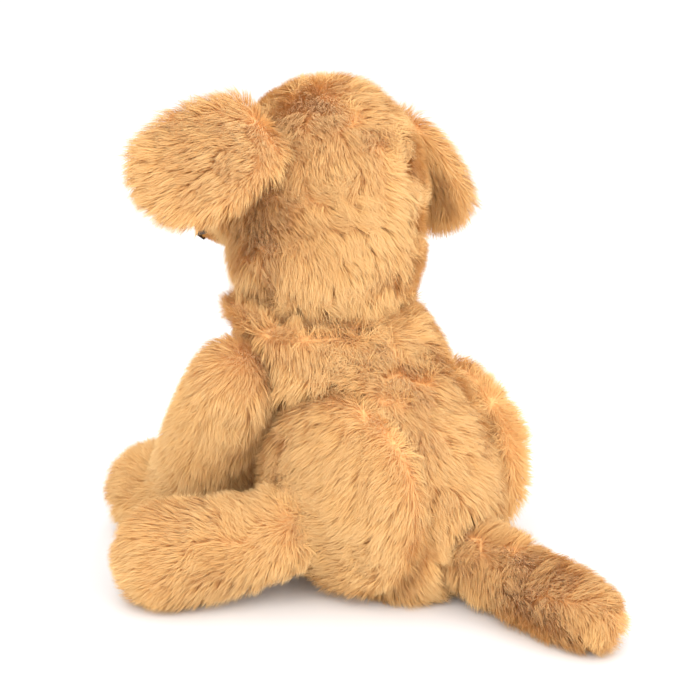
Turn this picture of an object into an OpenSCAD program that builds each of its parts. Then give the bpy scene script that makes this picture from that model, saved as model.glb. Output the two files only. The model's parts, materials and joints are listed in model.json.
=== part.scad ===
// Sitting plush dog: sewn panels of long-pile fabric over fibre filling, with a pellet bag in the seat.
// The origin is on the floor under the seat. +Z is up, the dog faces -Y and +X is its left side.
// Lengths are millimetres. A panel's outer face is the middle of its pile, where a hand feels it.

/* [Body] */
// Height of the neck seam above the floor
body_h = 126; // [110:1:150]
// Widest part of the body
body_w = 100; // [84:1:120]
// Depth of the body at the rump
body_l = 94; // [80:1:112]
// How far the neck leans in front of the seat
lean = 43; // [36:1:50]

/* [Head] */
// Height of the skull
head_h = 96; // [84:1:112]
// Width of the skull
head_w = 84; // [74:1:98]
// Depth of the skull from brow to nape
head_l = 88; // [76:1:102]
// Radius of the neck's ball
neck_r = 43; // [36:1:46]
// Thickness of the wadding between head and body
neck_wad = 3.4; // [2.6:0.2:5]

/* [Muzzle] */
// How far the muzzle stands out of the skull
muzzle_l = 32; // [26:1:38]
// Width of the muzzle
muzzle_w = 42; // [35:1:50]
// Height of the muzzle
muzzle_h = 37; // [31:1:44]
// Width of the nose
nose_w = 19; // [15:1:23]
// Radius of an eye
eye_r = 6; // [5:0.5:8]
// Radius of the posts of nose and eyes
post_r = 2; // [1.6:0.1:2.6]

/* [Ears] */
// Length of an ear from root to tip
ear_l = 60; // [48:1:70]
// Width of an ear
ear_w = 55; // [45:1:65]
// Thickness of an ear
ear_t = 13; // [10:0.5:16]

/* [Legs] */
// Height of the haunch
haunch_h = 92; // [78:1:104]
// Thickness of the haunch
haunch_w = 24; // [22:1:33]
// Width of the hind foot
foot_w = 47; // [40:1:56]
// Reach of the hind leg from the hip to the toes
hind_l = 93; // [78:1:110]
// Thickness of the front leg
arm_d = 45; // [37:1:50]
// Width of the front paw
paw_w = 45; // [37:1:52]
// Length of the paw in front of the wrist
paw_l = 50; // [42:1:60]

/* [Tail] */
// Length of the tail from its root
tail_l = 87; // [76:1:110]
// Thickness of the tail
tail_d = 32; // [29:1:40]

/* [Fabric] */
// Thickness of a panel, backing and half the pile together
pile = 5; // [4:0.5:6]
// Thickness of a panel where the dog's weight presses it
pressed = 2.6; // [2:0.1:4]
// Gap between two panels along their seam
seam_gap = 0.3; // [0.2:0.1:0.6]
// Gap between a panel and what it covers
fit_gap = 0.3; // [0.2:0.1:0.6]
// Gap between parts that move against each other
joint_gap = 0.8; // [0.6:0.1:1.2]

/* [Hidden] */
$fn = 32;

side_left = 1;
side_right = -1;
tip_r = 0.6;           // radius of the ring that closes a loft
soft_r = 14;           // rings smaller than this move inward when a loft is inset
big = 400;             // larger than the dog, for cutting blocks
arm_swing = 30;        // largest angle of a front leg
tail_swing = 35;       // largest angle of the tail, to each side

honey = [0.89, 0.66, 0.38];
honey_light = [0.93, 0.74, 0.48];
honey_dark = [0.82, 0.58, 0.32];
fibre = [0.95, 0.95, 0.93];
black = [0.12, 0.09, 0.08];

neck = [0, -lean, body_h + 0.52 * neck_r];            // middle of the neck's ball
hip_y = -2;
hip_z = haunch_h / 2 + 4;
hip_x = 0.29 * body_w;                                // the body's side under the haunch
shoulder = [0.46 * body_w, -lean - 13, body_h - 34];
shoulder_r = arm_d / 2 - 2;
tail_root = [0, body_l / 2 - 9, tail_d / 2 + 6];
skull = [0, -lean, neck[2] + 27];                     // middle of the skull
wad_in = neck_r + joint_gap;
wad_out = wad_in + neck_wad;
collar_r = wad_out + joint_gap;                       // the hollow for the neck in the body
post_gap = 0.15;

// ---------- Rings and lofts ----------

function unit(v) = v / norm(v);

// A smooth curve through a list of stations, with n steps between two of them
function curve(a, b, c, d, t) =
    0.5 * (2 * b + (c - a) * t + (2 * a - 5 * b + 4 * c - d) * t * t + (3 * b - a - 3 * c + d) * t * t * t);
function smooth(s, n) = [
    for (i = [0 : len(s) - 2]) for (k = [0 : n - 1])
        curve(s[max(i - 1, 0)], s[i], s[i + 1], s[min(i + 2, len(s) - 1)], k / n),
    s[len(s) - 1]
];

// A station is [x, y, z, half width, half height]; a ring is [middle, side, up, half width, half height]
function middle(s) = [s[0], s[1], s[2]];
function flat_rings(s, side, up) = [for (q = s) [middle(q), side, up, max(q[3], tip_r), max(q[4], tip_r)]];
function bent_rings(s, side) = [
    for (i = [0 : len(s) - 1])
        let (ahead = middle(s[min(i + 1, len(s) - 1)]) - middle(s[max(i - 1, 0)]), up = unit(cross(ahead, side)))
            [middle(s[i]), unit(cross(up, ahead)), up, max(s[i][3], tip_r), max(s[i][4], tip_r)]
];

// The same loft with its surface t deeper, or further out when t is negative
function inset(f, t) = [
    for (i = [0 : len(f) - 1])
        let (q = f[i], k = min(1, min(q[3], q[4]) / soft_r),
             next = i < len(f) / 2 ? f[i + 1][0] : f[i - 1][0])
            [q[0] + unit(next - q[0]) * t * (1 - k), q[1], q[2], max(q[3] - t * k, tip_r), max(q[4] - t * k, tip_r)]
];

// A filling has half as many facets as the panels over it, at the same angles
function facets(n, t) = t > pile ? n / 2 : n;

function on(q, phi) = q[0] + q[1] * q[3] * cos(phi) + q[2] * q[4] * sin(phi);
function around(f, i, phi) =
    unit(cross(on(f[i], phi + 4) - on(f[i], phi - 4), on(f[i + 1], phi) - on(f[i - 1], phi)));

// The convex piece between two rings
module segment(a, b, n) {
    hull() polyhedron(
        [for (q = [a, b]) for (i = [0 : n - 1]) on(q, 360 * i / n)],
        concat([[for (i = [0 : n - 1]) i]], [[for (i = [n - 1 : -1 : 0]) n + i]],
               [for (i = [0 : n - 1]) [i, n + i, n + (i + 1) % n, (i + 1) % n]])
    );
}
module loft(f, n, t = 0) {
    g = inset(f, t);
    for (i = [0 : len(g) - 2]) segment(g[i], g[i + 1], n);
}

module about(point, axis, angle) {
    translate(point) rotate(a = angle, v = axis) translate(-point) children();
}
module floor_cut(t) {
    translate([-big / 2, -big / 2, -big + (t > 0 ? pressed + t - pile : 0)]) cube([big, big, big]);
}

// Everything with x, y or z inside two limits
module block(x0, x1, y0, y1, z0, z1) {
    translate([x0, y0, z0]) cube([x1 - x0, y1 - y0, z1 - z0]);
}

// Stands its children's +Z along a direction, at a point
module aim(point, direction) {
    d = unit(direction);
    translate(point) rotate([0, acos(d[2]), atan2(d[1], d[0])]) children();
}

// ---------- Body ----------

body_stations = [
    for (s = [
        [0.000, -0.040, 0.360, 0.360],
        [0.045, -0.030, 0.440, 0.450],
        [0.200,  0.000, 0.490, 0.500],
        [0.400, -0.020, 0.500, 0.490],
        [0.600, -0.130, 0.480, 0.475],
        [0.755, -0.275, 0.465, 0.455],
        [0.890, -0.425, 0.465, 0.435],
        [1.000, -0.510, 0.450, 0.420]
    ]) [0, s[1] * body_l, s[0] * body_h, s[2] * body_w, s[3] * body_l]
];
body_rings = flat_rings(smooth(body_stations, 1), [1, 0, 0], [0, 1, 0]);

module haunch_hollow(side, t) {
    r = haunch_h / 2 + joint_gap + t;
    scale([side, 1, 1]) translate([hip_x - t, hip_y, hip_z]) rotate([90, 0, 90]) linear_extrude(big) {
        circle(r, $fn = 28);
        translate([-r, -big]) square([2 * r, big]);
    }
}
module arm_hollow(side, t) {
    g = inset(arm_rings(side), -joint_gap - t);
    for (i = [0 : 5]) hull() for (a = [0, arm_swing])
        about([0, shoulder[1], shoulder[2]], [-1, 0, 0], a) segment(g[i], g[i + 1], 16);
}
module tail_hollow(t) {
    g = inset(tail_rings, -joint_gap - t);
    for (i = [0 : 5]) hull() for (a = [-tail_swing, 0, tail_swing])
        about(tail_root, [0, 0, 1], a) segment(g[i], g[i + 1], 14);
}
module body_form(t) {
    difference() {
        loft(body_rings, facets(26, t), t);
        floor_cut(t);
        translate(neck) sphere(collar_r + t, $fn = 28);
        for (side = [side_left, side_right]) {
            haunch_hollow(side, t);
            arm_hollow(side, t);
        }
        tail_hollow(t);
    }
}
module body_skin() {
    difference() {
        body_form(0);
        body_form(pile);
    }
}
module seat_region(t) {
    block(-big / 2, big / 2, -0.36 * body_l - t, 0.32 * body_l + t, -1, pressed + 0.2 + t);
}

belly_y = -0.28 * body_l;
module back_region(side) {
    scale([side, 1, 1]) difference() {
        block(seam_gap / 2, big / 2, -big / 2, big / 2, -1, big);
        block(-big / 2, hip_x - 2, -big / 2, belly_y + seam_gap, -1, big);
    }
}
module back_panel(side) {
    color(honey) difference() {
        intersection() {
            body_skin();
            back_region(side);
        }
        seat_region(seam_gap);
    }
}
module back_panel_left() { back_panel(side_left); }
module back_panel_right() { back_panel(side_right); }
module belly_panel() {
    color(honey_light) difference() {
        intersection() {
            body_skin();
            block(-hip_x + 2 + seam_gap, hip_x - 2 - seam_gap, -big / 2, belly_y, -1, big);
        }
        seat_region(seam_gap);
    }
}
module seat_panel() {
    color(honey_dark) intersection() {
        body_skin();
        seat_region(0);
    }
}

bag_r = 0.21 * body_w;
bag_y = -0.13 * body_l;
bag_h = 0.2 * body_h;
bag_z = pressed + fit_gap + bag_h / 2;
bag_wall = 1;
module bag_form(r, h) {
    translate([0, bag_y, bag_z]) rotate_extrude($fn = 24) intersection() {
        union() {
            translate([0, -h / 2]) square([r - h / 2, h]);
            translate([r - h / 2, 0]) circle(h / 2, $fn = 20);
        }
        translate([0, -h]) square([r + 1, 2 * h]);
    }
}
module body_filling() {
    color(fibre) difference() {
        body_form(pile + fit_gap);
        bag_form(bag_r + fit_gap, bag_h + 2 * fit_gap);
        translate([0, bag_y, -1]) cylinder(h = bag_z, r = bag_r, $fn = 24);
    }
}
module pellet_bag() {
    color([0.9, 0.88, 0.82]) difference() {
        bag_form(bag_r, bag_h);
        bag_form(bag_r - bag_wall, bag_h - 2 * bag_wall);
    }
}
module pellets() {
    color([0.82, 0.84, 0.86]) bag_form(bag_r - bag_wall - fit_gap, bag_h - 2 * bag_wall - 2 * fit_gap);
}

// ---------- Neck ----------

wad_top = body_h - 9;
module neck_wadding() {
    color(fibre) difference() {
        translate(neck) sphere(wad_out, $fn = 64);
        translate(neck) sphere(wad_in, $fn = 64);
        translate([-big / 2, -big / 2, wad_top]) cube([big, big, big]);
    }
}

// ---------- Head ----------

muzzle_z = skull[2] - 17;
brow_y = -head_l / 2 - lean;
head_stations = concat(
    [for (a = [0, 18, 36, 54, 72, 90, 108, 124]) [
        0, skull[1] + head_l / 2 * cos(a), skull[2] - (a > 90 ? (a - 90) * 0.08 : 0),
        head_w / 2 * sin(a), head_h / 2 * sin(a)
    ]],
    [for (s = [
        [-0.12, 0.18, 0.70, 0.78],
        [ 0.12, 0.65, 0.52, 0.58],
        [ 0.40, 0.95, 0.49, 0.52],
        [ 0.68, 1.00, 0.45, 0.46],
        [ 0.88, 1.00, 0.33, 0.34],
        [ 0.97, 1.00, 0.19, 0.20],
        [ 1.00, 1.00, 0.00, 0.00]
    ]) [0, brow_y - s[0] * muzzle_l, skull[2] + (muzzle_z - skull[2]) * s[1], muzzle_w * s[2], muzzle_h * s[3]]]
);
head_rings = flat_rings(head_stations, [1, 0, 0], [0, 0, 1]);

module head_form(t) {
    loft(head_rings, facets(26, t), t);
    translate(neck) sphere(neck_r - t, $fn = 28);
}
module head_skin() {
    difference() {
        head_form(0);
        head_form(pile);
        for (side = [side_left, side_right]) eye_post(side, post_gap);
        nose_post(post_gap);
    }
}

gusset_w = 28;
base_z = neck[2] - 26;                 // seam between the neck panel and the head's sides
muzzle_y = brow_y + 1;                 // seam between muzzle and skull
module head_side(side) {
    color(honey) intersection() {
        head_skin();
        scale([side, 1, 1]) difference() {
            block(seam_gap / 2, big / 2, muzzle_y, big / 2, base_z, big);
            block(-1, gusset_w / 2 + seam_gap, -big / 2, neck[1] + 6, skull[2], big);
            block(-1, gusset_w / 2 + seam_gap, -big / 2, big, skull[2] + 10, big);
        }
    }
}
module head_panel_left() { head_side(side_left); }
module head_panel_right() { head_side(side_right); }
module head_gusset() {
    color(honey) intersection() {
        head_skin();
        union() {
            block(-gusset_w / 2, gusset_w / 2, muzzle_y, neck[1] + 6 - seam_gap, skull[2] + seam_gap, big);
            block(-gusset_w / 2, gusset_w / 2, muzzle_y, big / 2, skull[2] + 10 + seam_gap, big);
        }
    }
}
module muzzle_panel() {
    color(honey_light) intersection() {
        head_skin();
        block(-big, big, -big, muzzle_y - seam_gap, muzzle_z - 6 + seam_gap, big);
    }
}
module chin_panel() {
    color(honey_light) intersection() {
        head_skin();
        block(-big, big, -big, muzzle_y - seam_gap, base_z, muzzle_z - 6);
    }
}
module neck_panel() {
    color(honey_dark) intersection() {
        head_skin();
        block(-big, big, -big, big, -1, base_z - seam_gap);
    }
}
module head_filling() {
    color(fibre) difference() {
        head_form(pile + fit_gap);
        for (side = [side_left, side_right]) {
            eye_post(side, post_gap);
            eye_at(side) translate([0, 0, -washer_z - washer_t - fit_gap])
                cylinder(h = washer_t + 2 * fit_gap, r = washer_r + fit_gap);
        }
        nose_post(post_gap);
        nose_at() translate([0, 0, -washer_z - washer_t - fit_gap])
            cylinder(h = washer_t + 2 * fit_gap, r = washer_r + fit_gap);
    }
}

// Nose and eyes are caps on posts that pass through the panel, each held by a washer behind it
washer_r = 6;
washer_t = 1.6;
washer_z = pile + 2.2;
post_l = washer_z + washer_t + 1.5;
eye_out = (around(head_rings, 8, 32) + around(head_rings, 9, 44)) / 2;
module eye_at(side) {
    scale([side, 1, 1]) aim((on(head_rings[8], 32) + on(head_rings[9], 44)) / 2 + 0.9 * eye_out, eye_out) children();
}
module eye_post(side, grow) {
    eye_at(side) translate([0, 0, -post_l]) cylinder(h = post_l + 1, r = post_r + grow);
}
module eye(side) {
    color(black) eye_at(side) {
        translate([0, 0, 0.9]) intersection() {
            translate([0, 0, -0.45 * eye_r]) sphere(eye_r * 1.1);
            cylinder(h = 2 * eye_r, r = 2 * eye_r);
        }
        translate([0, 0, -post_l]) cylinder(h = post_l + 1.5, r = post_r);
    }
}
module eye_left() { eye(side_left); }
module eye_right() { eye(side_right); }
module washer() {
    translate([0, 0, -washer_z - washer_t]) difference() {
        cylinder(h = washer_t, r = washer_r);
        translate([0, 0, -1]) cylinder(h = washer_t + 2, r = post_r + post_gap);
    }
}
module eye_washer_left() { color(black) eye_at(side_left) washer(); }
module eye_washer_right() { color(black) eye_at(side_right) washer(); }

nose_ring = 13;
module nose_at() {
    aim(on(head_rings[nose_ring], 90) + [0, 0, 0.2], [0, -0.88, 0.47]) children();
}
module nose_post(grow) {
    nose_at() translate([0, 0, -post_l]) cylinder(h = post_l + 1, r = post_r + grow);
}
module nose() {
    r = nose_w / 2;
    color(black) nose_at() {
        translate([0, 0, 1.2]) intersection() {
            translate([0, 0, -0.35 * r]) sphere(r * 1.06);
            cylinder(h = 2 * r, r = 2 * r);
        }
        translate([0, 0, -post_l]) cylinder(h = post_l + 1.5, r = post_r);
    }
}
module nose_washer() { color(black) nose_at() washer(); }

// The mouth is one thick thread: a short drop below the nose, then a curve to each side
stitch_r = 0.8;
module thread(points) {
    for (i = [0 : len(points) - 2]) hull() {
        translate(points[i]) sphere(stitch_r, $fn = 8);
        translate(points[i + 1]) sphere(stitch_r, $fn = 8);
    }
}
function stitch_point(i, phi) = on(head_rings[i], phi) + (stitch_r + 0.5) * around(head_rings, i, phi);
module mouth_stitch() {
    color(black) {
        thread([stitch_point(13, 270), stitch_point(12, 270)]);
        for (side = [side_left, side_right])
            thread([stitch_point(12, 270), stitch_point(12, 270 + 18 * side), stitch_point(11, 270 + 30 * side),
                    stitch_point(11, 270 + 46 * side), stitch_point(10, 270 + 58 * side)]);
    }
}

// ---------- Ears ----------

// An ear hangs along -Z from its root line on X, with its outer face on +Y
ear_stations = [
    for (s = [
        [0.00, 0.32, 0.50], [0.10, 0.37, 0.50], [0.28, 0.45, 0.50], [0.50, 0.50, 0.49], [0.70, 0.48, 0.46],
        [0.84, 0.40, 0.41], [0.93, 0.27, 0.34], [0.98, 0.13, 0.24], [1.00, 0.00, 0.00]
    ]) [0, 0.9 * ear_t * (1 - s[0]) * s[0], -s[0] * ear_l, s[1] * ear_w, s[2] * ear_t]
];
ear_rings = flat_rings(ear_stations, [1, 0, 0], [0, 1, 0]);

// Root middle, direction to the tip, direction of the root line
ear_off = ear_t / 2 + 1.2;
ear_left_root = [0.4 * head_w + ear_off * 0.83, skull[1], skull[2] + 0.287 * head_h + ear_off * 0.56];
ear_left_down = [0.78, -0.4, -0.45];
ear_left_line = [-0.36, -0.6, 0.71];
ear_right_root = [-0.46 * head_w - ear_off * 0.93, skull[1], skull[2] + 0.2 * head_h + ear_off * 0.37];
ear_right_down = [-0.5, 0.1, -0.87];
ear_right_line = [0.16, 0.98, 0.03];

module placed(root, down, line) {
    z = -unit(down);
    y = unit(cross(z, line));
    x = cross(y, z);
    multmatrix([
        [x[0], y[0], z[0], root[0]],
        [x[1], y[1], z[1], root[1]],
        [x[2], y[2], z[2], root[2]]
    ]) children();
}
module ear_left_place() { placed(ear_left_root, ear_left_down, ear_left_line) children(); }
module ear_right_place() { placed(ear_right_root, ear_right_down, ear_right_line) children(); }

// The seam between outer and lining follows the ear's curve
module ear_half(outside) {
    f = ear_rings;
    for (i = [0 : len(f) - 2]) difference() {
        segment(f[i], f[i + 1], 22);
        hull() for (q = [f[i], f[i + 1]])
            translate([-ear_w, q[0][1] + (outside ? seam_gap / 2 - 2 * ear_t : -seam_gap / 2), q[0][2] - 0.005])
                cube([2 * ear_w, 2 * ear_t, 0.01]);
    }
}
module ear_outer_left() { color(honey) ear_left_place() ear_half(true); }
module ear_lining_left() { color(honey_light) ear_left_place() ear_half(false); }
module ear_outer_right() { color(honey) ear_right_place() ear_half(true); }
module ear_lining_right() { color(honey_light) ear_right_place() ear_half(false); }

// ---------- Front legs ----------

wrist = [0.33 * body_w, shoulder[1] - 38, arm_d / 2 + 10];
arm_way = unit([wrist[0] - shoulder[0], wrist[1] - shoulder[1], wrist[2] - shoulder[2]]);
function arm_stations() = concat(
    [for (a = [0, 20, 42, 66]) let (p = shoulder - arm_way * shoulder_r * cos(a))
        [p[0], p[1], p[2], shoulder_r * sin(a), shoulder_r * sin(a)]],
    [for (s = [[0, 0], [0.3, 1.6], [0.6, 2], [0.85, 1.2]])
        let (p = shoulder + (wrist - shoulder) * s[0], r = shoulder_r + s[1])
            [p[0], p[1], p[2], r, r]],
    [for (s = [
        [0.06, 0.25, 0.445, 0.46],
        [0.32, 0.70, 0.475, 0.48],
        [0.58, 1.00, 0.500, 0.50],
        [0.78, 1.00, 0.460, 0.46],
        [0.91, 1.00, 0.340, 0.34],
        [0.98, 1.00, 0.170, 0.17],
        [1.00, 1.00, 0.000, 0.00]
    ]) let (z0 = wrist[2], z1 = 0.46 * paw_w)
        [wrist[0] - 2 * s[0], wrist[1] - paw_l * s[0], z0 + (z1 - z0) * s[1], paw_w * s[2], paw_w * s[3]]]
);
function mirrored(s, side) = [for (q = s) [side * q[0], q[1], q[2], q[3], q[4]]];
function arm_rings(side) = bent_rings(mirrored(arm_stations(), side), [1, 0, 0]);

module arm_form(side, t) {
    difference() {
        loft(arm_rings(side), facets(18, t), t);
        floor_cut(t);
    }
}
module arm_panel(side, outside) {
    x = (shoulder[0] + wrist[0]) / 2;
    difference() {
        arm_form(side, 0);
        arm_form(side, pile);
        scale([side, 1, 1])
            block(outside ? -big : x - seam_gap / 2, outside ? x + seam_gap / 2 : big, -big, big, -1, big);
    }
}
module front_leg_outer_left() { color(honey) arm_panel(side_left, true); }
module front_leg_inner_left() { color(honey_light) arm_panel(side_left, false); }
module front_leg_filling_left() { color(fibre) arm_form(side_left, pile + fit_gap); }
module front_leg_outer_right() { color(honey) arm_panel(side_right, true); }
module front_leg_inner_right() { color(honey_light) arm_panel(side_right, false); }
module front_leg_filling_right() { color(fibre) arm_form(side_right, pile + fit_gap); }

// ---------- Hind legs ----------

haunch_x = hip_x + joint_gap;
haunch_rings = flat_rings([
    for (s = [
        [0.00, 0.44], [0.07, 0.475], [0.20, 0.497], [0.34, 0.50], [0.50, 0.475], [0.66, 0.415], [0.80, 0.325],
        [0.91, 0.215], [0.98, 0.10], [1.00, 0.00]
    ]) [haunch_x + s[0] * haunch_w, hip_y, hip_z, s[1] * haunch_h * 0.97, s[1] * haunch_h]
], [0, 1, 0], [0, 0, 1]);

function hind_stations() = [
    for (s = [
        [0.16, 0.74, 0.37, 0.36],
        [0.34, 0.65, 0.42, 0.41],
        [0.52, 0.56, 0.45, 0.45],
        [0.68, 0.49, 0.490, 0.49],
        [0.80, 0.46, 0.520, 0.50],
        [0.89, 0.44, 0.465, 0.44],
        [0.95, 0.43, 0.350, 0.33],
        [0.99, 0.42, 0.180, 0.17],
        [1.00, 0.42, 0.000, 0.00]
    ]) [haunch_x + 9 + 0.68 * hind_l * s[0], hip_y - 0.8 * hind_l * s[0], foot_w * s[1], foot_w * s[2], foot_w * s[3]]
];
function hind_rings(side) = bent_rings(mirrored(hind_stations(), side), [side * 0.76, 0.65, 0]);

module hind_form(side, t) {
    difference() {
        union() {
            scale([side, 1, 1]) loft(haunch_rings, facets(24, t), t);
            loft(hind_rings(side), facets(16, t), t);
        }
        floor_cut(t);
        scale([side, 1, 1]) block(-big, haunch_x + t, -big, big, -big, big);
    }
}
module hind_panel(side, outside) {
    x = haunch_x + 0.4 * haunch_w;
    difference() {
        hind_form(side, 0);
        hind_form(side, pile);
        scale([side, 1, 1]) rotate([0, 0, -8])
            block(outside ? -big : x - seam_gap / 2, outside ? x + seam_gap / 2 : big, -big, big, -1, big);
    }
}
module hind_leg_outer_left() { color(honey) hind_panel(side_left, true); }
module hind_leg_inner_left() { color(honey_light) hind_panel(side_left, false); }
module hind_leg_filling_left() { color(fibre) hind_form(side_left, pile + fit_gap); }
module hind_leg_outer_right() { color(honey) hind_panel(side_right, true); }
module hind_leg_inner_right() { color(honey_light) hind_panel(side_right, false); }
module hind_leg_filling_right() { color(fibre) hind_form(side_right, pile + fit_gap); }

// ---------- Tail ----------

tail_rings = bent_rings(concat(
    [for (a = [0, 22, 45, 68])
        [0, tail_root[1] - tail_d / 2 * cos(a) * 0.98, tail_root[2] + tail_d / 2 * cos(a) * 0.2,
         tail_d / 2 * sin(a), tail_d / 2 * sin(a)]],
    [for (s = [
        [0.00, 0.00, 0.50], [0.22, 0.00, 0.50], [0.45, 0.03, 0.50], [0.66, 0.07, 0.50], [0.80, 0.10, 0.46],
        [0.90, 0.12, 0.37], [0.965, 0.13, 0.22], [1.00, 0.13, 0.00]
    ]) [s[1] * tail_l, tail_root[1] + s[0] * tail_l, tail_root[2] - min(1, s[0] / 0.45) * 7, s[2] * tail_d, s[2] * tail_d]]
), [1, 0, 0]);

module tail_form(t) {
    difference() {
        loft(tail_rings, facets(18, t), t);
        floor_cut(t);
    }
}
module tail_panel(above) {
    z = tail_root[2] - 4;
    difference() {
        tail_form(0);
        tail_form(pile);
        block(-big, big, -big, big, above ? -big : z - seam_gap / 2, above ? z + seam_gap / 2 : big);
    }
}
module tail_upper() { color(honey) tail_panel(true); }
module tail_lower() { color(honey_light) tail_panel(false); }
module tail_filling() { color(fibre) tail_form(pile + fit_gap); }

back_panel_left();
back_panel_right();
belly_panel();
seat_panel();
body_filling();
pellet_bag();
pellets();
neck_wadding();
head_panel_left();
head_panel_right();
head_gusset();
muzzle_panel();
chin_panel();
neck_panel();
head_filling();
nose();
nose_washer();
eye_left();
eye_right();
eye_washer_left();
eye_washer_right();
mouth_stitch();
ear_outer_left();
ear_lining_left();
ear_outer_right();
ear_lining_right();
front_leg_outer_left();
front_leg_inner_left();
front_leg_filling_left();
front_leg_outer_right();
front_leg_inner_right();
front_leg_filling_right();
hind_leg_outer_left();
hind_leg_inner_left();
hind_leg_filling_left();
hind_leg_outer_right();
hind_leg_inner_right();
hind_leg_filling_right();
tail_upper();
tail_lower();
tail_filling();
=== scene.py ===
import json
import math

import bpy
import numpy as np
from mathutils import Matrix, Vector
from mathutils.bvhtree import BVHTree


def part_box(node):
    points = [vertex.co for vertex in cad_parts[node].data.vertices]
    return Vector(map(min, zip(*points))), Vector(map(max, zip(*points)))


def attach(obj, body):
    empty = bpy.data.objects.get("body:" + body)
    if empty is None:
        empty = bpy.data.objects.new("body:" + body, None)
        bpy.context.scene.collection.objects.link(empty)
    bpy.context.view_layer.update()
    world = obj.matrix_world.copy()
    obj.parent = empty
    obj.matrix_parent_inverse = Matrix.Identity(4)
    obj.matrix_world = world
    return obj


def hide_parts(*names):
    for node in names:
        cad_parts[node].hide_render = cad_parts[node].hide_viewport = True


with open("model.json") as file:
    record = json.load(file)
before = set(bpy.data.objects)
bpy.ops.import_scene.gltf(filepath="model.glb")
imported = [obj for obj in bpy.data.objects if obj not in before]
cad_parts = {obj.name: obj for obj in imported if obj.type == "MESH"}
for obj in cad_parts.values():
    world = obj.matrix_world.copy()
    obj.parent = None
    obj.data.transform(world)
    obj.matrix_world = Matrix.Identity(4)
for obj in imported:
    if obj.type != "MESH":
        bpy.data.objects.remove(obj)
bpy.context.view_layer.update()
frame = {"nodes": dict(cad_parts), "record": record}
scene = bpy.context.scene
nodes = frame["nodes"]
mm = 0.001
print("frame loaded:", len(nodes), "nodes")

# Everything that is drawn at random comes from this one seed
seed = 41


def unit(v):
    size = np.linalg.norm(v, axis=-1, keepdims=True)
    return v / np.maximum(size, 1e-12)


def fade(x, low, high):
    t = np.clip((x - low) / (high - low), 0, 1)
    return t * t * (3 - 2 * t)


def hashed(cells, salt):
    # one number from 0 to 1 for each row of whole numbers
    n = cells.astype(np.uint64)
    h = n[..., 0] * np.uint64(73856093) ^ n[..., 1] * np.uint64(19349663) ^ n[..., 2] * np.uint64(83492791)
    h = (h + np.uint64(salt * 7919 + seed)) * np.uint64(2654435761)
    h ^= h >> np.uint64(13)
    h *= np.uint64(1274126177)
    h ^= h >> np.uint64(16)
    return (h & np.uint64(0xFFFFFF)).astype(float) / 0xFFFFFF


def noise(points, size, salt):
    # smooth noise from 0 to 1 with bumps about this wide
    p = points / size + 1000.0
    base = np.floor(p).astype(np.int64)
    t = p - base
    t = t * t * (3 - 2 * t)
    total = np.zeros(len(points))
    for dx in (0, 1):
        for dy in (0, 1):
            for dz in (0, 1):
                w = np.abs(1 - dx - t[:, 0]) * np.abs(1 - dy - t[:, 1]) * np.abs(1 - dz - t[:, 2])
                total += w * hashed(base + np.array([dx, dy, dz]), salt)
    return total


def nearestLock(points, size, salt):
    # the middle and the cell of the jittered grid point nearest to each point
    p = points / size + 1000.0
    base = np.floor(p).astype(np.int64)
    best = np.full(len(points), 1e9)
    middle = np.zeros_like(points)
    cell = np.zeros_like(base)
    for dx in (-1, 0, 1):
        for dy in (-1, 0, 1):
            for dz in (-1, 0, 1):
                c = base + np.array([dx, dy, dz])
                spot = c + np.stack([hashed(c, salt + k) for k in (1, 2, 3)], 1)
                far = ((spot - p) ** 2).sum(1)
                closer = far < best
                best[closer] = far[closer]
                middle[closer] = spot[closer]
                cell[closer] = c[closer]
    return (middle - 1000.0) * size, cell


def coords(mesh):
    flat = np.zeros(len(mesh.vertices) * 3, np.float32)
    mesh.vertices.foreach_get("co", flat)
    return flat.reshape(-1, 3).astype(float)


def setCoords(mesh, points):
    mesh.vertices.foreach_set("co", np.ascontiguousarray(points, np.float32).ravel())
    mesh.update()


def normalsOf(mesh):
    flat = np.zeros(len(mesh.vertices) * 3, np.float32)
    mesh.vertex_normals.foreach_get("vector", flat)
    return flat.reshape(-1, 3).astype(float)


def trianglesOf(mesh):
    mesh.calc_loop_triangles()
    flat = np.zeros(len(mesh.loop_triangles) * 3, np.int32)
    mesh.loop_triangles.foreach_get("vertices", flat)
    return flat.reshape(-1, 3)


def addObject(name, mesh):
    obj = bpy.data.objects.new(name, mesh)
    scene.collection.objects.link(obj)
    return obj


class Wire:
    # one output socket; a sum or product of wires adds a Math node
    def __init__(self, paint, socket):
        self.paint = paint
        self.socket = socket

    def maths(self, operation, first, second):
        return self.paint.add("ShaderNodeMath", {"operation": operation}, {0: first, 1: second})

    def __add__(self, other):
        return self.maths("ADD", self, other)

    def __radd__(self, other):
        return self.maths("ADD", other, self)

    def __mul__(self, other):
        return self.maths("MULTIPLY", self, other)

    def __rmul__(self, other):
        return self.maths("MULTIPLY", other, self)


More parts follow.
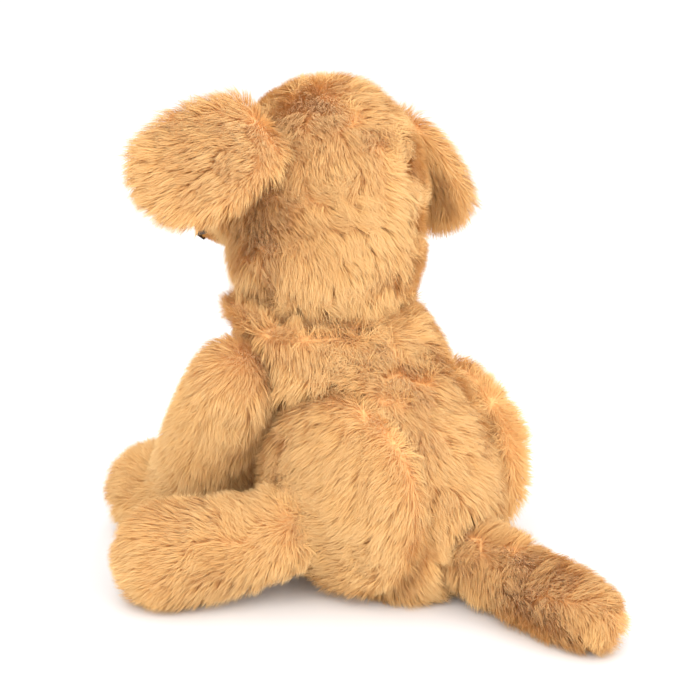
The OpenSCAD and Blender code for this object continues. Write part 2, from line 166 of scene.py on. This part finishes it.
class Paint:
    def __init__(self, name, settings):
        self.material = bpy.data.materials.new(name)
        self.material.use_nodes = True
        self.tree = self.material.node_tree
        self.tree.nodes.clear()
        self.shader = self.tree.nodes.new("ShaderNodeBsdfPrincipled")
        output = self.tree.nodes.new("ShaderNodeOutputMaterial")
        self.tree.links.new(self.shader.outputs[0], output.inputs["Surface"])
        for key, value in settings.items():
            self.shader.inputs[key].default_value = value

    def add(self, kind, settings=None, inputs=None, output=0):
        node = self.tree.nodes.new(kind)
        for key, value in (settings or {}).items():
            setattr(node, key, value)
        for key, value in (inputs or {}).items():
            self.feed(node.inputs[key], value)
        return Wire(self, node.outputs[output])

    def feed(self, socket, value):
        if isinstance(value, Wire):
            self.tree.links.new(value.socket, socket)
        else:
            socket.default_value = value

    def mix(self, amount, first, second):
        return self.add("ShaderNodeMix", {"data_type": "RGBA"}, {0: amount, 6: first, 7: second}, 2)

    def between(self, value, low, high):
        return self.add("ShaderNodeMapRange", {"interpolation_type": "SMOOTHSTEP"},
                        {"Value": value, "From Min": low, "From Max": high})

    def show(self, name, wire):
        self.feed(self.shader.inputs[name], wire)


def rgb(red, green, blue):
    # a linear colour from 0 to 255 screen values
    return tuple((c / 255 / 12.92 if c <= 10 else ((c / 255 + 0.055) / 1.055) ** 2.4)
                 for c in (red, green, blue)) + (1.0,)


pileLook = {
    "root": rgb(249, 203, 140),     # deep in the pile; painted light, lighter than the middle, standing in for light spread through the strands and lifting the shade there
    "middle": rgb(237, 191, 125),
    "tip": rgb(248, 214, 158),
    "warm": rgb(236, 187, 118),     # darker locks
    "sheen": 0.15,
    "roughness": 0.8,
}


def pilePaint(name, look):
    # the pile map holds a strand's tone across and the place along the strand upward
    paint = Paint(name, {"Roughness": look["roughness"], "Sheen Weight": look["sheen"],
                         "Sheen Roughness": 0.5, "Specular IOR Level": 0.2})
    place = paint.add("ShaderNodeUVMap", {"uv_map": "OFBake"})
    split = paint.tree.nodes.new("ShaderNodeSeparateXYZ")
    paint.tree.links.new(place.socket, split.inputs[0])
    tone = Wire(paint, split.outputs["X"])
    along = Wire(paint, split.outputs["Y"])
    body = paint.mix(tone, look["warm"], look["middle"])
    # painted light: toward the root the colour turns lighter, lifting the shade deep in the pile
    low = paint.mix(paint.between(along, 0.0, 0.55), look["root"], body)
    pale = paint.between(along, 0.45, 1.0) * (tone * 0.75 + 0.1)
    paint.show("Base Color", paint.mix(pale, low, look["tip"]))
    return paint.material


clothLook = {
    # painted light: both tones are lighter than a shaded backing would be, to lift the shade seen between the
    # strands
    "dark": rgb(242, 190, 126),
    "light": rgb(249, 202, 138),
    "grain": 900.0,
}


def clothPaint(look):
    # the woven backing between the strands; its two tones are painted light, kept as light as the pile's root
    # to lift the shade between the strands, and the grain between them is the weave's own
    paint = Paint("backingCloth", {"Roughness": 0.9, "Specular IOR Level": 0.1})
    where = paint.add("ShaderNodeTexCoord", output=3)
    fine = paint.add("ShaderNodeTexNoise", None, {"Vector": where, "Scale": look["grain"], "Detail": 2.0})
    broad = paint.add("ShaderNodeTexNoise", None,
                      {"Vector": where, "Scale": look["grain"] / 12, "Detail": 3.0})
    paint.show("Base Color", paint.mix(fine * 0.6 + broad * 0.4, look["dark"], look["light"]))
    return paint.material


plasticLook = {
    "colour": rgb(16, 11, 8),
    "second": rgb(34, 23, 16),
    "roughness": 0.12,
}


def plasticPaint(name, look, bumps):
    paint = Paint(name, {"Coat Weight": 0.15, "Coat Roughness": 0.06, "Specular IOR Level": 0.3})
    where = paint.add("ShaderNodeTexCoord", output=3)
    cloud = paint.add("ShaderNodeTexNoise", None, {"Vector": where, "Scale": 160.0, "Detail": 3.0})
    paint.show("Base Color", paint.mix(cloud, look["colour"], look["second"]))
    paint.show("Roughness", cloud * 0.1 + look["roughness"])
    if bumps:
        grain = paint.add("ShaderNodeTexVoronoi", None, {"Vector": where, "Scale": 900.0})
        paint.show("Normal", paint.add("ShaderNodeBump", None,
                                       {"Height": grain, "Strength": bumps, "Distance": 0.0004}))
    return paint.material


def threadPaint():
    paint = Paint("stitchThread", {"Roughness": 0.7})
    where = paint.add("ShaderNodeTexCoord", output=3)
    ply = paint.add("ShaderNodeTexWave", None, {"Vector": where, "Scale": 700.0, "Distortion": 1.5})
    paint.show("Base Color", paint.mix(ply, rgb(28, 16, 10), rgb(66, 42, 28)))
    return paint.material


pileMaterial = pilePaint("longPile", pileLook)
muzzleMaterial = pilePaint("shortPile", dict(pileLook, middle=rgb(242, 202, 140), warm=rgb(238, 192, 126)))
clothMaterial = clothPaint(clothLook)
eyeMaterial = plasticPaint("eyeGloss", plasticLook, 0)
noseMaterial = plasticPaint("noseGloss", dict(plasticLook, roughness=0.3), 0.5)
washerMaterial = plasticPaint("washerPlastic", dict(plasticLook, roughness=0.5), 0)
threadMaterial = threadPaint()
print("materials made")


skinShape = {
    "voxel": 3.6 * mm,       # remesh size
    "depth": 3.0 * mm,       # how far the backing lies under the middle of the pile
    "smooth": 8,
    "pressure": 4.0,
    "frames": 12,
    "move": 2.5 * mm,        # most that the filling may push the cloth
}


def joinedNodes(name, parts):
    points, faces, start = [], [], 0
    for part in parts:
        mesh = nodes[part].data
        points.append(coords(mesh))
        faces.append(trianglesOf(mesh) + start)
        start += len(mesh.vertices)
    mesh = bpy.data.meshes.new(name)
    mesh.from_pydata(np.concatenate(points).tolist(), [], np.concatenate(faces).tolist())
    return addObject(name, mesh)


def applied(obj):
    depsgraph = bpy.context.evaluated_depsgraph_get()
    made = bpy.data.meshes.new_from_object(obj.evaluated_get(depsgraph))
    obj.modifiers.clear()
    old = obj.data
    obj.data = made
    bpy.data.meshes.remove(old)


def keepLargest(mesh):
    # label each vertex with its island, keep the island with the most vertices
    count = len(mesh.vertices)
    ends = np.zeros(len(mesh.edges) * 2, np.int32)
    mesh.edges.foreach_get("vertices", ends)
    ends = ends.reshape(-1, 2)
    label = np.arange(count)
    while True:
        low = np.minimum(label[ends[:, 0]], label[ends[:, 1]])
        new = label.copy()
        np.minimum.at(new, ends[:, 0], low)
        np.minimum.at(new, ends[:, 1], low)
        new = new[new]
        if (new == label).all():
            break
        label = new
    names, sizes = np.unique(label, return_counts=True)
    keep = label == names[sizes.argmax()]
    if keep.all():
        return mesh
    index = np.cumsum(keep) - 1
    polys = [list(p.vertices) for p in mesh.polygons]
    faces = [[int(index[v]) for v in p] for p in polys if keep[p[0]]]
    small = bpy.data.meshes.new(mesh.name)
    small.from_pydata(coords(mesh)[keep].tolist(), [], faces)
    return small


def puff(obj, shape):
    # a short cloth simulation under the filling's pressure, its movement capped
    start, outward = coords(obj.data), normalsOf(obj.data)
    cloth = obj.modifiers.new("filling", "CLOTH")
    cloth.settings.use_pressure = True
    cloth.settings.uniform_pressure_force = shape["pressure"]
    cloth.settings.effector_weights.gravity = 0
    cloth.settings.tension_stiffness = 20
    cloth.settings.compression_stiffness = 20
    cloth.settings.bending_stiffness = 1.5
    cloth.point_cache.frame_start = 1
    cloth.point_cache.frame_end = shape["frames"]
    for step in range(1, shape["frames"] + 1):
        scene.frame_set(step)
    depsgraph = bpy.context.evaluated_depsgraph_get()
    end = coords(obj.evaluated_get(depsgraph).data)
    obj.modifiers.remove(cloth)
    scene.frame_set(1)
    move = end - start
    # the filling only pushes outward
    inward = np.minimum((move * outward).sum(1, keepdims=True), 0)
    move -= inward * outward
    size = np.linalg.norm(move, axis=1, keepdims=True)
    setCoords(obj.data, start + move * np.minimum(1, shape["move"] / np.maximum(size, 1e-9)))


def snugMuzzle(mesh):
    # the short pile needs little room, so the muzzle's backing comes up under the nose and the thread
    points, normals = coords(mesh), normalsOf(mesh)
    amount = fade(-points[:, 1], 0.082, 0.096)
    panels = joinedNodes("muzzlePanels", ["muzzle_panel", "chin_panel"])
    tree = BVHTree.FromPolygons([tuple(v) for v in coords(panels.data)], trianglesOf(panels.data).tolist())
    bpy.data.objects.remove(panels)
    for i in np.where(amount > 0)[0]:
        normal = Vector(normals[i])
        hit = tree.ray_cast(Vector(points[i]) + normal * 15 * mm, -normal, 25 * mm)
        if hit[0] is not None:
            target = hit[0] - normal * 0.8 * mm
            points[i] += amount[i] * (np.array(target) - points[i])
    setCoords(mesh, points)


def makeSkin(name, parts, shape):
    obj = joinedNodes(name, parts)
    remesh = obj.modifiers.new("remesh", "REMESH")
    remesh.mode = "VOXEL"
    remesh.voxel_size = shape["voxel"]
    soft = obj.modifiers.new("soft", "SMOOTH")
    soft.iterations = shape["smooth"]
    soft.factor = 0.5
    applied(obj)
    obj.data = keepLargest(obj.data)
    setCoords(obj.data, coords(obj.data) - normalsOf(obj.data) * shape["depth"])
    puff(obj, shape)
    if name == "headCloth":
        snugMuzzle(obj.data)
    points = coords(obj.data)
    points[:, 2] = np.maximum(points[:, 2], 0.6 * mm)
    setCoords(obj.data, points)
    obj.data.polygons.foreach_set("use_smooth", np.ones(len(obj.data.polygons), bool))
    obj.data.materials.clear()
    obj.data.materials.append(clothMaterial)
    print("skin", name, len(obj.data.vertices), "points")
    return obj


bodyParts = {b: list(v) for b, v in frame["record"]["behaviour"]["bodies"].items()}
hard = ("nose", "nose_washer", "eye_left", "eye_right", "eye_washer_left", "eye_washer_right", "mouth_stitch")
skins = {}
for bodyName, parts in bodyParts.items():
    soft = [p for p in parts if p not in hard]
    cloth = [p for p in soft if p not in ("pellet_bag", "pellets")]
    words = bodyName.split("_")
    label = words[0] + "".join(w.capitalize() for w in words[1:])
    shape = skinShape
    if "ear" in words:
        # two thin layers with no filling, so the backing lies less deep
        shape = dict(skinShape, depth=1.6 * mm, smooth=4, voxel=2.4 * mm, move=0.6 * mm)
    if bodyName == "neck":
        shape = dict(skinShape, depth=0.2 * mm, smooth=2, voxel=1.6 * mm, move=0.2 * mm)
    if bodyName == "head":
        shape = dict(skinShape, smooth=5)
    skin = makeSkin(label + "Cloth", cloth, shape)
    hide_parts(*soft)
    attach(skin, bodyName)
    "filling" if bodyName == "neck" else "pile_honey"
    skins[bodyName] = skin


def flow(x, y, z):
    return np.array([x, y, z], float)


def away(points, x, y, z):
    return unit(points - flow(x, y, z) * mm)


def torsoFlow(p, n):
    # down the body, and up around the neck so that the coat meets the head's
    down = np.tile(flow(0, 0.18, -1), (len(p), 1))
    neckline = fade(p[:, 2:3], 0.108, 0.12)
    return down * (1 - 1.5 * neckline)


def neckFlow(p, n):
    return away(p, 0, -43, 100)


def headFlow(p, n):
    # back and down from a whorl between the eyes, and back along the muzzle
    spread = away(p, 0, -92, 196) + flow(0, 0.25, -0.45)
    muzzle = np.tile(flow(0, 1, -0.1), (len(p), 1))
    w = fade(-p[:, 1:2], 0.086, 0.1)
    return spread * (1 - w) + muzzle * w


def earFlow(tip, root):
    def comb(p, n):
        return unit(flow(*tip) - flow(*root)) + 0.9 * away(p, *root)
    return comb


def frontLegFlow(p, n):
    w = fade(-p[:, 1:2], 0.085, 0.105)
    upper = np.tile(flow(0, -0.45, -1), (len(p), 1))
    paw = np.tile(flow(0, -1, -0.35), (len(p), 1))
    return upper * (1 - w) + paw * w


def hindLegFlow(side):
    def comb(p, n):
        foot = flow(side * 88, -64, 22) * mm
        down = unit(foot - p) + flow(side * 0.2, 0.1, -0.55)
        toes = np.tile(flow(side * 0.62, -0.75, -0.3), (len(p), 1))
        w = fade(side * p[:, 0:1], 0.07, 0.09)
        return down * (1 - w) + toes * w
    return comb


def tailFlow(p, n):
    return np.tile(flow(0.3, 0.5, -0.5), (len(p), 1)) + 0.5 * away(p, 8, 40, 20)


# length in mm, strands per square mm, how much locks pull together, how much the comb wanders
coats = {
    "torso": {"flow": torsoFlow, "length": 9.5, "density": 3.6, "pull": 0.22, "wander": 1.2},
    "head": {"flow": headFlow, "length": 9.5, "density": 3.8, "pull": 0.22, "wander": 1.3},
    "ear_left": {"flow": earFlow((86, -67, 180), (40, -43, 207)), "length": 9.5, "density": 4,
                 "pull": 0.22, "wander": 0.8},
    "ear_right": {"flow": earFlow((-76, -37, 145), (-46, -43, 197)), "length": 10.5, "density": 4,
                  "pull": 0.22, "wander": 0.8},
    "front_leg_left": {"flow": frontLegFlow, "length": 9, "density": 3.6, "pull": 0.22, "wander": 0.9},
    "front_leg_right": {"flow": frontLegFlow, "length": 9, "density": 3.6, "pull": 0.22, "wander": 0.9},
    "hind_leg_left": {"flow": hindLegFlow(1), "length": 9, "density": 3.6, "pull": 0.22, "wander": 0.9},
    "hind_leg_right": {"flow": hindLegFlow(-1), "length": 9, "density": 3.6, "pull": 0.22, "wander": 0.9},
    "tail": {"flow": tailFlow, "length": 9.5, "density": 5, "pull": 0.22, "wander": 1.7},
    "neck": {"flow": neckFlow, "length": 14, "density": 5.0, "pull": 0.2, "wander": 0.4},
}

strandShape = {
    "rootLean": 18,          # degrees from the surface's normal
    "tipLean": 64,
    "flatRoot": 45,          # added where another part presses the pile flat
    "flatTip": 18,
    "flatShort": 0.3,        # share of the length lost there
    "halfWidth": 0.14 * mm,
    "lock": 8.5 * mm,        # the size of a lock, and of the small locks in it
    "fineLock": 3.4 * mm,
    "finePull": 0.4,
}
stations = np.array([0.0, 0.5, 1.0])


def freeHeight(bodyName, points, normals):
    # how far each skin point can see along its normal before another body's skin
    reach = 14 * mm
    room = np.full(len(points), reach)
    for other, skin in skins.items():
        if other == bodyName or (other == "neck" and bodyName != "torso" and bodyName != "head"):
            continue
        low, high = coords(skin.data).min(0) - reach, coords(skin.data).max(0) + reach
        near = np.where(((points > low) & (points < high)).all(1))[0]
        if not len(near):
            continue
        tree = BVHTree.FromPolygons([tuple(v) for v in coords(skin.data)], trianglesOf(skin.data).tolist())
        for i in near:
            start = Vector(points[i])
            hit = tree.ray_cast(start, Vector(normals[i]), reach)
            if hit[0] is not None:
                room[i] = min(room[i], hit[3])
    return room


def scatter(skin, density, rng):
    mesh = skin.data
    points, normals, tris = coords(mesh), normalsOf(mesh), trianglesOf(mesh)
    a, b, c = (points[tris[:, k]] for k in range(3))
    areas = np.linalg.norm(np.cross(b - a, c - a), axis=1) / 2
    total = areas.sum()
    count = int(total * 1e6 * density * (1))
    marks = (np.arange(count) + rng.random(count)) / count * total
    which = np.minimum(np.searchsorted(np.cumsum(areas), marks), len(tris) - 1)
    u, v = rng.random(count), rng.random(count)
    flip = u + v > 1
    u[flip], v[flip] = 1 - u[flip], 1 - v[flip]
    weights = np.stack([1 - u - v, u, v], 1)
    corner = tris[which]
    place = (points[corner] * weights[:, :, None]).sum(1)
    normal = unit((normals[corner] * weights[:, :, None]).sum(1))
    return place, normal, corner, weights


def strands(bodyName, skin, coat, rng):
    place, normal, corner, weights = scatter(skin, coat["density"], rng)
    room = freeHeight(bodyName, coords(skin.data), normalsOf(skin.data))
    open_ = (room[corner] * weights).sum(1)
    if bodyName == "neck":
        open_[:] = 9 * mm
    keep = open_ > 2.2 * mm
    if bodyName == "head":
        # nothing grows through the eyes or the nose
        for part, reach in (("eye_left", 6.4), ("eye_right", 6.4), ("nose", 9.6)):
            low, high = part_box(part)
            middle = (np.array(low) + np.array(high)) / 2
            keep &= np.linalg.norm(place - middle, axis=1) > reach * mm
    if bodyName == "neck":
        # only the bowl's rim has pile
        keep &= place[:, 2] > 0.112
    place, normal, open_ = place[keep], normal[keep], open_[keep]
    count = len(place)
    length = np.full(count, coat["length"] * mm)
    # beside another part the pile lies flat and stays long enough to cover the gap
    pressedFlat = 1 - fade(open_, 3 * mm, 11 * mm)
    if bodyName == "head":
        pressedFlat *= 0.35
    length *= 1 - strandShape["flatShort"] * pressedFlat
    if bodyName == "head":
        muzzle = fade(-place[:, 1], 0.084, 0.104)
        length *= 1 - 0.66 * muzzle
        for part in ("eye_left", "eye_right"):
            low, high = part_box(part)
            middle = (np.array(low) + np.array(high)) / 2
            length *= 0.4 + 0.6 * fade(np.linalg.norm(place - middle, axis=1), 8 * mm, 22 * mm)
    length *= 0.8 + 0.4 * rng.random(count)

    # comb, with a slow wander and a turn for each lock
    comb = coat["flow"](place, normal)
    wander = np.stack([noise(place, 24 * mm, k) - 0.5 for k in (11, 12, 13)], 1)
    lockMiddle, lock = nearestLock(place, strandShape["lock"], 20)
    turn = np.stack([hashed(lock, k) - 0.5 for k in (31, 32, 33)], 1)
    fineMiddle, fine = nearestLock(place, strandShape["fineLock"], 50)
    comb = unit(comb) + coat["wander"] * (1.6 * wander + 1.1 * turn) + 0.7 * (rng.random((count, 3)) - 0.5)
    along = unit(comb - (comb * normal).sum(1, keepdims=True) * normal)
    length *= 0.9 + 0.2 * hashed(lock, 34)

    lift = strandShape["rootLean"] + 14 * (hashed(lock, 35) - 0.5) + 20 * (rng.random(count) - 0.5)
    lift += strandShape["flatRoot"] * pressedFlat
    rows = [place - normal * 0.4 * mm]
    for k in range(2):
        share = (stations[k] + stations[k + 1]) / 2
        tip = strandShape["tipLean"] + strandShape["flatTip"] * pressedFlat
        angle = np.radians(np.clip(lift + (tip - lift) * share ** 0.8, 5, 88))[:, None]
        step = (stations[k + 1] - stations[k]) * length[:, None]
        rows.append(rows[-1] + step * (normal * np.cos(angle) + along * np.sin(angle)))
    # locks: tips draw together toward the lock's own line
    for size, middle, amount in ((strandShape["lock"], lockMiddle, coat["pull"]),
                                 (strandShape["fineLock"], fineMiddle, strandShape["finePull"])):
        pull = middle - place
        pull -= (pull * normal).sum(1, keepdims=True) * normal
        far = np.linalg.norm(pull, axis=1, keepdims=True)
        pull *= np.minimum(1, size * 0.6 / np.maximum(far, 1e-9))
        for k in (1, 2):
            rows[k] = rows[k] + pull * amount * stations[k] ** 1.4
    drop = 0.06 * length
    for k in (1, 2):
        rows[k][:, 2] -= drop * stations[k] ** 2
        rows[k][:, 2] = np.maximum(rows[k][:, 2], (0.3 + 0.9 * rng.random(count)) * mm)
    rows[0][:, 2] = np.maximum(rows[0][:, 2], 0.2 * mm)

    direction = unit(rows[2] - rows[0])
    side = unit(np.cross(direction, normal))
    roll = np.radians(80 * (rng.random(count) - 0.5))[:, None]
    side = unit(side * np.cos(roll) + np.cross(direction, side) * np.sin(roll))
    wide = strandShape["halfWidth"] * 1 * (0.7 + 0.6 * rng.random(count))[:, None]
    tone = 0.5 * noise(place, 14 * mm, 61) + 0.25 * hashed(fine, 36) + 0.25 * rng.random(count)
    return {"rows": rows, "side": side, "wide": wide, "tone": np.clip(tone, 0.02, 0.98), "place": place}


def pileMesh(name, s, pick):
    count = int(pick.sum())
    rows = [r[pick] for r in s["rows"]]
    side, wide = s["side"][pick], s["wide"][pick]
    points = np.zeros((count, 5, 3))
    for k, share in enumerate((1.0, 0.85)):
        points[:, 2 * k] = rows[k] - side * wide * share
        points[:, 2 * k + 1] = rows[k] + side * wide * share
    points[:, 4] = rows[2]
    pattern = np.array([0, 1, 3, 2, 2, 3, 4])
    corners = (np.arange(count)[:, None] * 5 + pattern).ravel()
    starts = (np.arange(count)[:, None] * 7 + np.array([0, 4])).ravel()
    mesh = bpy.data.meshes.new(name)
    mesh.vertices.add(count * 5)
    mesh.loops.add(count * 7)
    mesh.polygons.add(count * 2)
    mesh.vertices.foreach_set("co", points.astype(np.float32).ravel())
    mesh.loops.foreach_set("vertex_index", corners.astype(np.int32))
    mesh.polygons.foreach_set("loop_start", starts.astype(np.int32))
    mesh.update(calc_edges=True)
    tone = s["tone"][pick]
    across = np.array([-1, 1, -1, 1, 0]) * 0.004
    height = np.array([0.01, 0.01, 0.5, 0.5, 0.99])
    uv = np.zeros((count, 5, 2))
    uv[:, :, 0] = tone[:, None] + across
    uv[:, :, 1] = height
    layer = mesh.uv_layers.new(name="OFBake")
    layer.data.foreach_set("uv", uv.reshape(-1, 2)[corners].astype(np.float32).ravel())
    mesh.polygons.foreach_set("use_smooth", np.ones(count * 2, bool))
    return mesh


# each coat is one piece per sewn panel, so that the pieces follow the pattern
def regions(bodyName, p):
    if bodyName == "torso":
        belly = (p[:, 1] < -0.026) & (np.abs(p[:, 0]) < 0.028)
        return {"backLeft": ~belly & (p[:, 0] >= 0), "backRight": ~belly & (p[:, 0] < 0), "belly": belly}
    if bodyName == "head":
        muzzle = p[:, 1] < -0.086
        crown = ~muzzle & (np.abs(p[:, 0]) < 0.014) & (p[:, 2] > 0.18)
        return {"muzzle": muzzle, "crown": crown, "headLeft": ~muzzle & ~crown & (p[:, 0] >= 0),
                "headRight": ~muzzle & ~crown & (p[:, 0] < 0)}
    words = bodyName.split("_")
    name = words[0] + "".join(w.capitalize() for w in words[1:])
    if words[0] == "hind":
        split = np.abs(p[:, 0]) > 0.058
        return {name + "Haunch": ~split, name + "Foot": split}
    return {name: np.ones(len(p), bool)}


total = 0
for index, (bodyName, coat) in enumerate(coats.items()):
    rng = np.random.default_rng(seed + index)
    skin = skins[bodyName]
    grown = strands(bodyName, skin, coat, rng)
    for label, pick in regions(bodyName, grown["place"]).items():
        mesh = pileMesh(label + "Pile", grown, pick)
        mesh.materials.append(muzzleMaterial if label == "muzzle" else pileMaterial)
        obj = addObject(label + "Pile", mesh)
        obj.parent = skin
        obj.matrix_parent_inverse = skin.matrix_world.inverted()
        "pile_short" if label == "muzzle" else "pile_honey"
        total += int(pick.sum())
        print("pile", label, int(pick.sum()), "strands")
    if bodyName != "neck":
        0.3 if "ear" in bodyName else 0.85
print("strands in all:", total)


for part, material in (("nose", noseMaterial), ("eye_left", eyeMaterial), ("eye_right", eyeMaterial),
                       ("mouth_stitch", threadMaterial), ("nose_washer", washerMaterial),
                       ("eye_washer_left", washerMaterial), ("eye_washer_right", washerMaterial)):
    mesh = nodes[part].data
    mesh.materials.clear()
    mesh.materials.append(material)
print("face painted")


studio = {
    "floor": rgb(246, 246, 247),
    "floorSecond": rgb(250, 250, 250),
    "world": 1.15,
    "key": 8.0,
    "fill": 7.0,
    "target": (14.1, -16.9, 107.0),
    "azimuth": 130.0,
    "elevation": 16.9,
    "distance": 856.0,
    "lens": 100.0,
}

bpy.ops.mesh.primitive_plane_add(size=30)
floor = bpy.context.object
floor.name = "floor"
floorPaint = Paint("floorPaint", {"Roughness": 0.85, "Specular IOR Level": 0.1})
floorPlace = floorPaint.add("ShaderNodeTexCoord", output=3)
floorCloud = floorPaint.add("ShaderNodeTexNoise", None, {"Vector": floorPlace, "Scale": 0.7})
floorPaint.show("Base Color", floorPaint.mix(floorCloud, studio["floor"], studio["floorSecond"]))
floor.data.materials.append(floorPaint.material)

world = scene.world or bpy.data.worlds.new("studio")
scene.world = world
world.use_nodes = True
world.node_tree.nodes["Background"].inputs["Color"].default_value = (1, 1, 1, 1)
world.node_tree.nodes["Background"].inputs["Strength"].default_value = studio["world"]


def areaLight(name, place, size, power, target=(0, 0, 0.1)):
    lamp = bpy.data.lights.new(name, "AREA")
    lamp.shape = "DISK"
    lamp.size = size
    lamp.energy = power
    obj = bpy.data.objects.new(name, lamp)
    scene.collection.objects.link(obj)
    obj.location = place
    obj.rotation_euler = (Vector(target) - Vector(place)).to_track_quat("-Z", "Y").to_euler()
    return obj


areaLight("keyLight", (0.95, 0.45, 1.0), 1.0, studio["key"])
areaLight("fillLight", (0.1, 1.25, 0.6), 1.0, studio["fill"])

cameraData = bpy.data.cameras.new("camera")
camera = bpy.data.objects.new("camera", cameraData)
scene.collection.objects.link(camera)
azimuth, elevation = math.radians(studio["azimuth"]), math.radians(studio["elevation"])
target = Vector(studio["target"]) * mm
level = math.cos(elevation)
outward = Vector((math.sin(azimuth) * level, -math.cos(azimuth) * level, math.sin(elevation)))
camera.location = target + outward * studio["distance"] * mm
camera.rotation_euler = (-outward).to_track_quat("-Z", "Y").to_euler()
cameraData.lens = studio["lens"]
cameraData.sensor_width = 36
cameraData.clip_start = 0.01
scene.camera = camera
scene.view_settings.view_transform = "Standard"
scene.view_settings.look = "None"
print("studio ready")
